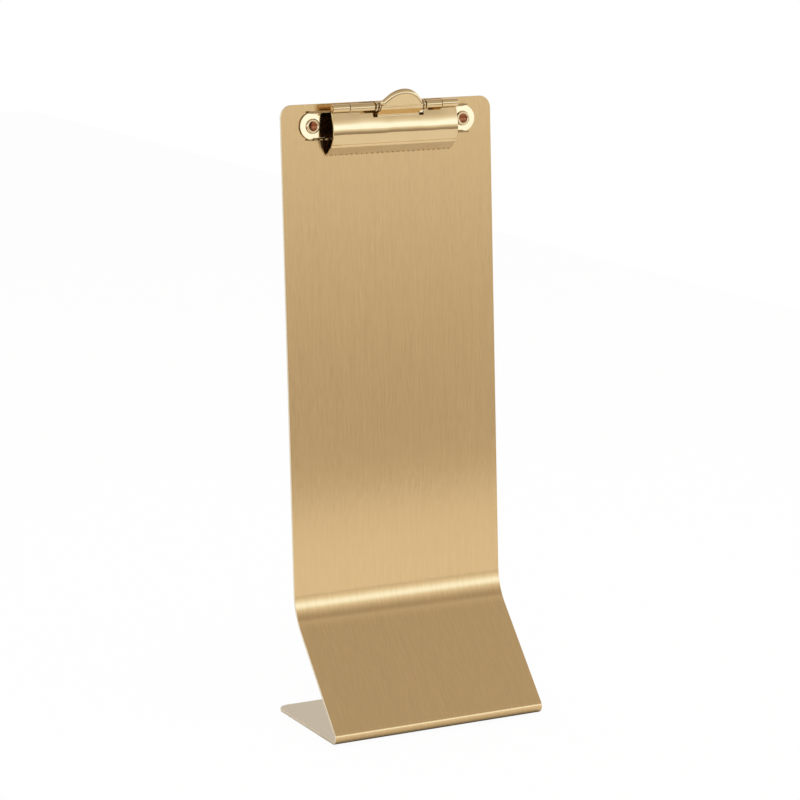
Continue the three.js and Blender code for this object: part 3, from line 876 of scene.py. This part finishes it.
def fold_lip(bm, row):
    """Down round the bow, over the crease and along the flat lip to the teeth."""
    lip = Fold(bm, row, bow_top, neck_down)
    lip.bend(SWELL_TURN, SWELL_RADIUS).bend(bow_down - swell_down, BOW_RADIUS)
    line_length = 2 * LINE_RADIUS * LINE_ANGLE
    lip.run((CREASE - lip.point).length - line_length - LINE_LAND)
    lip.bend(LINE_ANGLE, LINE_RADIUS).bend(-LINE_ANGLE, LINE_RADIUS).run(LINE_LAND)
    lip.bend(lip_down - bow_down, CREASE_RADIUS).run((JAW_TIP - lip.point).length)
    faces = [face for edge in lip.row for face in edge.link_faces]
    for face in faces:
        face.material_index = LIP_ZONE
    cut_teeth(bm, faces, lip.point.y)


def cut_teeth(bm, faces, edge_height):
    teeth = round(2 * JAW_HALF / TOOTH_PITCH)
    cuts = TOOTH_CUTS * teeth
    faces = cut_columns(bm, faces, [JAW_HALF * (2 * k / cuts - 1) for k in range(1, cuts)])
    for corner in {v for face in faces for v in face.verts}:
        if corner.co.z < edge_height + SLACK:
            share = ((corner.co.x / JAW_HALF + 1) * teeth / 2) % 1
            notch = 4 * JAW_TOOTH_DEPTH * share * (1 - share)
            corner.co -= Vector((0, *(notch * ray(lip_down))))
    print("the jaw has", teeth, "teeth")


def fold_side(bm, row, outer):
    """Up the neck to the window, and on to the knuckle at the outer end."""
    side = Fold(bm, row, bow_top, neck_down + math.pi)
    side.run((-WINDOW_DROP - side.point.y) / math.sin(side.heading))
    inner = math.copysign(KNUCKLE_SPLIT + SEAT_GAP, outer)
    end_row = between(side.row, min(inner, outer), max(inner, outer))
    knuckle = Fold(bm, end_row, side.point, side.heading)
    knuckle.run((neck_start - side.point).length).bend(CURL, KNUCKLE_BORE)


print("the lip turns", round(math.degrees(lip_down - bow_down), 1), "degrees at the crease")

# %% [markdown]
# The jaw's faces fall into three zones, each with its own finishes for front, back and cut edge: the
# polished body, the satin lip, and the top, where both sides of the tab and the knuckles show and
# are bright.

# %% Jaw
RELIEF_WIDTH = 2.6


def make_jaw():
    bm = bmesh.new()
    split = KNUCKLE_SPLIT + SEAT_GAP
    tab_left = TAB_CENTRE - TAB_HALF
    tab_right = TAB_CENTRE + TAB_HALF
    left_side = tab_left - RELIEF_WIDTH
    right_side = tab_right + RELIEF_WIDTH
    columns = (-JAW_HALF, -split, left_side, tab_left, tab_right, right_side, split, JAW_HALF)
    row = start_row(bm, columns, bow_top)
    fold_tab(bm, between(row, tab_left, tab_right))
    fold_side(bm, between(row, -JAW_HALF, left_side), -JAW_HALF)
    fold_side(bm, between(row, right_side, JAW_HALF), JAW_HALF)
    fold_lip(bm, row)
    for face in bm.faces:
        if face.calc_center_median().z > -WINDOW_DROP:
            face.material_index = TOP_ZONE
    close_up(bm)
    face_front(bm)
    jaw = finish_mesh("jaw", bm, clip_place, BODY_FINISHES + LIP_FINISHES + TOP_FINISHES)
    thicken(jaw, CLIP_SHEET, CLIP_EASING)
    stand_for(jaw, "clip_jaw", "jaw")


make_jaw()

# %% [markdown]
# ## The hinge pin
#
# A straight rod, cut to length and slightly rounded at the ends. A cylinder whose end edges are
# bevelled is all it needs.

# %% Pin
PIN_RADIUS = 1
PIN_END = 0.4
PIN_SIDES = 40
PIN_ROUND = 0.3
PIN_ROUND_STEPS = 4
PIN_SHARP = math.radians(40)


def make_pin():
    bm = bmesh.new()
    bmesh.ops.create_cone(
        bm, cap_ends=True, segments=PIN_SIDES, radius1=PIN_RADIUS, radius2=PIN_RADIUS,
        depth=2 * (JAW_HALF + PIN_END),
    )
    rims = [e for e in bm.edges if len({round(v.co.z, 3) for v in e.verts}) == 1]
    bmesh.ops.bevel(
        bm, geom=rims, offset=PIN_ROUND, offset_type="OFFSET", affect="EDGES",
        segments=PIN_ROUND_STEPS, profile=0.5, material=-1,
    )
    bmesh.ops.rotate(bm, cent=(0, 0, 0), matrix=Matrix.Rotation(UP, 3, "Y"), verts=bm.verts)
    bmesh.ops.translate(bm, verts=bm.verts, vec=(0, *hinge))
    pin = finish_mesh("pin", bm, clip_place, (polished_plate,))
    pin.data.set_sharp_from_angle(angle=PIN_SHARP)
    stand_for(pin, "hinge_pin", "stand")


make_pin()

# %% [markdown]
# ## The torsion spring
#
# A length of hard wire: a leg that rests on the flange, a coil round the pin, and a bridge that
# presses on the back of the thumb tab, then the same again the other way. The sizes of the bay and
# the tab decide where the coils start, how the bridge leans and how far each coil is wound.

# %% Spring sizes
WIRE_RADIUS = 0.55
COIL_RADIUS = 2.1
COIL_PITCH = 1.65
COIL_TURNS = 6
LEG_RISE = math.radians(25)
LEG_BEND = 1.2
LEG_END = -1.8
BRIDGE_LENGTH = 6
BRIDGE_CORNER = 1.6

tab_back = (hinge - tab_belly).dot(ray(TAB_LEAN)) - CLIP_SHEET
bridge_reach = tab_back - SEAT_GAP - WIRE_RADIUS
bridge_slope = (math.asin(bridge_reach / math.hypot(COIL_RADIUS, BRIDGE_LENGTH))
                - math.atan2(COIL_RADIUS, BRIDGE_LENGTH))
bridge_up = UP + TAB_LEAN + bridge_slope
leg_height = -flange_drop + CLIP_SHEET + SEAT_GAP + WIRE_RADIUS
coil_places = [
    (BAY_LEFT + SEAT_GAP + WIRE_RADIUS, 1),
    (BAY_RIGHT - SEAT_GAP - WIRE_RADIUS, -1),
]
winding = 2 * math.pi * COIL_TURNS + (UP + LEG_RISE) - (bridge_up - UP)
wound_length = COIL_PITCH * winding / (2 * math.pi)
bridge_places = [x + inward * wound_length for x, inward in coil_places]
bridge_middle = sum(bridge_places) / 2
print("each coil is wound", round(math.degrees(winding)), "degrees over", round(wound_length, 1), "mm")

# %% [markdown]
# A ring of edges is run, bent and wound like the sheet: winding is a spin that also moves along the
# pin at every step. The two halves are separate pieces, because each coil twists between the stand
# and the jaw. A twist about the pin keeps every turn on the same cylinder.

# %% Spring
WIRE_SIDES = 12
TURN_STEPS = 36
CORNER_TURN_STEPS = 10
WIRE_SHARP = math.radians(50)


def wire_ring(bm, x, point, heading):
    """A ring of edges round the wire, square to its heading."""
    ring = bmesh.ops.create_circle(bm, segments=WIRE_SIDES, radius=WIRE_RADIUS)["verts"]
    turn = Matrix.Rotation(heading - UP, 4, "X")
    bmesh.ops.transform(bm, matrix=Matrix.Translation((x, *point)) @ turn, verts=ring)
    return [e for e in bm.edges if set(e.verts) <= set(ring)]


def run_leg(bm, ring, leaving):
    leg = Fold(bm, ring, leaving, LEG_RISE)
    bend_length = LEG_BEND * math.tan(LEG_RISE / 2)
    leg.run((leg_height - leaving.y) / math.sin(LEG_RISE) - bend_length)
    leg.bend(-LEG_RISE, LEG_BEND)
    leg.run(LEG_END - leg.point.x)


def wind(bm, row, inward):
    """The coil: a spin round the pin that steps along it as it turns."""
    steps = round(winding / (2 * math.pi) * TURN_STEPS)
    return of_kind(bmesh.ops.spin(
        bm, geom=row + corners_of(row), cent=(0, *hinge), axis=(-1, 0, 0), angle=winding,
        dvec=(inward * wound_length / steps, 0, 0), steps=steps,
    )["geom_last"], bmesh.types.BMEdge)


def run_bridge(bm, row, inward, bridge_x):
    """Up behind the tab, round a corner and in to the middle, where the two halves meet."""
    bridge = Fold(bm, row, (0, 0), bridge_up)
    bridge.run(BRIDGE_LENGTH - BRIDGE_CORNER)
    climb = Vector((0, *ray(bridge_up)))
    across = Vector((inward, 0, 0))
    ends = corners_of(bridge.row)
    middle = sum((v.co for v in ends), Vector()) / len(ends)
    turned = bmesh.ops.spin(
        bm, geom=bridge.row + ends, cent=middle + BRIDGE_CORNER * across,
        axis=climb.cross(across), angle=UP, steps=CORNER_TURN_STEPS,
    )["geom_last"]
    made = bmesh.ops.extrude_edge_only(bm, edges=of_kind(turned, bmesh.types.BMEdge))["geom"]
    to_middle = bridge_middle - bridge_x - inward * BRIDGE_CORNER
    bmesh.ops.translate(bm, verts=of_kind(made, bmesh.types.BMVert), vec=(to_middle, 0, 0))


def make_half_spring(name, x, inward, bridge_x):
    bm = bmesh.new()
    leaving = hinge + COIL_RADIUS * ray(LEG_RISE - UP)
    ring = wire_ring(bm, x, leaving, LEG_RISE)
    run_leg(bm, ring, leaving)
    run_bridge(bm, wind(bm, ring, inward), inward, bridge_x)
    bmesh.ops.holes_fill(bm, edges=[e for e in bm.edges if e.is_boundary], sides=0)
    close_up(bm)
    half = finish_mesh(name, bm, clip_place, (spring_wire,))
    half.data.set_sharp_from_angle(angle=WIRE_SHARP)
    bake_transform(half)
    stand_for(half, "torsion_spring", None)


for name, (x, inward), bridge_x in zip(("spring_left", "spring_right"), coil_places, bridge_places):
    make_half_spring(name, x, inward, bridge_x)

# %% [markdown]
# ## The rivets
#
# Semi-tubular rivets: a low dome behind the panel, a shank through both sheets, and a hollow end that
# the setting tool has rolled out into a collar. The floor of the hollow is slightly dished. The
# outline of half a rivet is spun a full turn round its own axis. The hollow is coloured a dark
# reddish brown.

# %% Rivets
SHANK_RADIUS = 2.5
BORE_RADIUS = 2.1
BORE_MARGIN = 0.1
COLLAR_RADIUS = 3.8
COLLAR_STEPS = 10
HEAD_RADIUS = 4.2
HEAD_HEIGHT = 1.2
HEAD_STEPS = 8
FLOOR_GAP = 0.05
FLOOR_DISH = 0.5
FLOOR_STEPS = 4
RIVET_STEPS = 48
RIVET_SHARP = math.radians(50)

rivet_front = plate_front - SEAT_GAP
rivet_back = SHEET_THICKNESS + SEAT_GAP


def rivet_outline():
    """Half a rivet as (back, out) points, from the floor of its hollow to the top of its head."""
    floor = plate_front - FLOOR_GAP
    dish = [(floor - FLOOR_DISH * (k / FLOOR_STEPS) ** 2, BORE_RADIUS * k / FLOOR_STEPS)
            for k in range(FLOOR_STEPS + 1)]
    roll = (COLLAR_RADIUS - BORE_RADIUS) / 2
    roll_turns = [math.pi * k / COLLAR_STEPS for k in range(COLLAR_STEPS + 1)]
    collar = [(rivet_front - roll * math.sin(turn), BORE_RADIUS + roll * (1 - math.cos(turn)))
              for turn in roll_turns]
    dome = (HEAD_RADIUS ** 2 + HEAD_HEIGHT ** 2) / (2 * HEAD_HEIGHT)
    dome_turn = math.asin(HEAD_RADIUS / dome)
    head_turns = [dome_turn * (1 - k / HEAD_STEPS) for k in range(HEAD_STEPS + 1)]
    head = [(rivet_back + HEAD_HEIGHT - dome * (1 - math.cos(turn)), dome * math.sin(turn))
            for turn in head_turns]
    return [*dish, *collar, (rivet_front, SHANK_RADIUS), (rivet_back, SHANK_RADIUS), *head]


def make_rivet(name, node, x):
    bm = bmesh.new()
    points = [bm.verts.new((0, back, out)) for back, out in rivet_outline()]
    lines = [bm.edges.new(pair) for pair in zip(points, points[1:])]
    bmesh.ops.spin(
        bm, geom=points + lines, cent=(0, 0, 0), axis=(0, 1, 0), angle=2 * math.pi,
        steps=RIVET_STEPS, use_merge=True,
    )
    close_up(bm)
    for face in bm.faces:
        middle = face.calc_center_median()
        in_bore = math.hypot(middle.x, middle.z) < BORE_RADIUS + BORE_MARGIN
        face.material_index = int(in_bore and middle.y < rivet_back)
    bmesh.ops.translate(bm, verts=bm.verts, vec=(x, 0, -RIVET_DROP))
    rivet = finish_mesh(name, bm, clip_place, (rivet_metal, rivet_bore))
    rivet.data.set_sharp_from_angle(angle=RIVET_SHARP)
    stand_for(rivet, node, "stand")


make_rivet("left_rivet", "rivet_left", -RIVET_HALF)
make_rivet("right_rivet", "rivet_right", RIVET_HALF)

# %% [markdown]
# ## The table and the lamp
#
# Bare metal shows its surroundings, so the studio matters as much as the finish. The table is white
# and ends some way in front of the stand, where the room is dimmer. The camera sees it as plain
# white with a trace of the stand's shadow. Metal sees more of that shadow. Close to anything that
# rests on it, the table also has painted shade, a near-black diffuse mixed in by ambient occlusion,
# which shows on the underside of the foot. A soft lamp overhead lights the table, and is kept out of
# reflections.

# %% Table
TABLE_FRONT = 0.7
TABLE_SIDE = 0.9
TABLE_BACK = 3
TABLE_DROP = 0.0002
TABLE_WHITE = (0.9, 0.9, 0.9, 1)
PAINTED_CONTACT_SHADE = (0.02, 0.02, 0.02, 1)
CONTACT_REACH = 0.02
WHITE = (1, 1, 1, 1)
SEEN_GLOW = 0.96
MIRRORED_GLOW = 0.04


def table_finish():
    material, start = new_finish("table_top")
    seen = start.node("LightPath", None, None, "Is Camera Ray")
    mirrored = start.node("LightPath", None, None, "Is Glossy Ray")
    through = start.node("LightPath", None, None, "Is Transmission Ray")
    # Painted contact shade: ambient occlusion mixes a near-black diffuse into the table close to the
    # stand.
    openness = start.node("AmbientOcclusion", None, {"Distance": CONTACT_REACH}, "AO")
    white = start.node("BsdfDiffuse", None, {"Color": TABLE_WHITE})
    dark = start.node("BsdfDiffuse", None, {"Color": PAINTED_CONTACT_SHADE})
    shade = start.node("MixShader", None, {0: 1 - openness, 1: white, 2: dark})
    glow = start.node("Emission", None, {"Color": WHITE, "Strength": 1})
    share = SEEN_GLOW * (seen + through) + MIRRORED_GLOW * mirrored
    set_surface(start, start.node("MixShader", None, {0: share, 1: shade, 2: glow}))
    return material


def make_table():
    bm = bmesh.new()
    bmesh.ops.create_grid(bm, x_segments=1, y_segments=1, size=1)
    bmesh.ops.scale(bm, vec=(TABLE_SIDE, (TABLE_FRONT + TABLE_BACK) / 2, 1), verts=bm.verts)
    middle = (0, (TABLE_BACK - TABLE_FRONT) / 2, -TABLE_DROP)
    bmesh.ops.translate(bm, verts=bm.verts, vec=middle)
    mesh = bpy.data.meshes.new("table")
    bm.to_mesh(mesh)
    bm.free()
    table = bpy.data.objects.new("table", mesh)
    bpy.context.scene.collection.objects.link(table)
    mesh.materials.append(table_finish())


make_table()
print("table in place, its front edge", TABLE_FRONT, "m before the stand")

# %% [markdown]
# The lamp is a broad square above the stand and a little in front of it. Its size makes the shadow
# soft.

# %% Lamp
LAMP_PLACE = (0, -0.3, 1.6)
LAMP_SIZE = 1.8
LAMP_POWER = 15


def hang_lamp():
    light = bpy.data.lights.new("lamp", "AREA")
    light.size = LAMP_SIZE
    light.energy = LAMP_POWER
    lamp = bpy.data.objects.new("lamp", light)
    bpy.context.scene.collection.objects.link(lamp)
    lamp.location = LAMP_PLACE
    lamp.visible_glossy = False


hang_lamp()
print("lamp at", LAMP_PLACE, "with", LAMP_POWER, "W")

# %% [markdown]
# ## The room
#
# The rest of the light is the room itself. A broad soft light stands in front, about 12 degrees above
# the horizon, and fades out above and below. Behind the stand there is a pale wall, and high up the
# room is dim. Each is a ramp from straight down to straight up, and the direction along Y says which
# one is in view. The core of a soft light is cooler than its fringe, and the dim parts are warmer.
# The camera sees plain white.

# %% Room
FRONT_LEVELS = [
    (-90, 0.3), (-21, 0.34), (-16, 0.38), (-12.4, 0.42), (-8, 0.53), (-4.4, 0.67),
    (-1.1, 0.87), (2.7, 0.98), (6.5, 1.17), (10.2, 1.36), (14.2, 1.38), (16.5, 1.25),
    (19, 1.02), (22, 0.86), (26, 0.7), (30, 0.58), (34, 0.51), (36.5, 0.47),
    (39.5, 0.56), (43, 0.67), (46.5, 0.61), (50, 0.58), (55.5, 0.57), (90, 0.48),
]
BACK_LEVELS = [(-90, 0.5), (0, 1), (18, 1), (35, 0.55), (60, 0.48), (90, 0.48)]
SIDE_FADE = 0.1
DIM_TONE = (1, 1.15, 1.3)
BRIGHT_TONE = (1, 1.6, 2.4)
BRIGHTEST = 2.4


def room_ramp(start, height, levels):
    """The room by height. Levels are raised to a tone's powers, so colour follows brightness."""
    stops = []
    for angle, level in levels:
        tone = DIM_TONE if level < 1 else BRIGHT_TONE
        colour = tuple(level ** power / BRIGHTEST for power in tone)
        stops.append(((math.sin(math.radians(angle)) + 1) / 2, colour))
    return start.node("ValToRGB", {"stops": stops}, {0: 0.5 + 0.5 * height})


def light_room():
    world = bpy.data.worlds.new("studio")
    bpy.context.scene.world = world
    world.use_nodes = True
    world.node_tree.nodes.clear()
    start = Signal(world.node_tree)
    direction = start.node("TexCoord", None, None, "Generated")
    height = start.node("SeparateXYZ", None, {0: direction}, "Z")
    depth = start.node("SeparateXYZ", None, {0: direction}, "Y")
    smooth = {"interpolation_type": "SMOOTHSTEP"}
    behind = start.node("MapRange", smooth, {0: depth, 1: -SIDE_FADE, 2: SIDE_FADE})
    front = room_ramp(start, height, FRONT_LEVELS)
    back = room_ramp(start, height, BACK_LEVELS)
    around = start.node("Mix", {"data_type": "RGBA"}, {0: behind, 6: front, 7: back}, 2)
    room = start.node("Background", None, {"Color": around, "Strength": BRIGHTEST})
    plain = start.node("Background", None, {"Color": WHITE, "Strength": 1})
    seen = start.node("LightPath", None, None, "Is Camera Ray")
    through = start.node("LightPath", None, None, "Is Transmission Ray")
    both = start.node("MixShader", None, {0: seen + through, 1: room, 2: plain})
    start.node("OutputWorld", None, {"Surface": both})


light_room()
bpy.context.scene.view_settings.view_transform = "Standard"
print("the front light is", max(level for angle, level in FRONT_LEVELS), "times white")
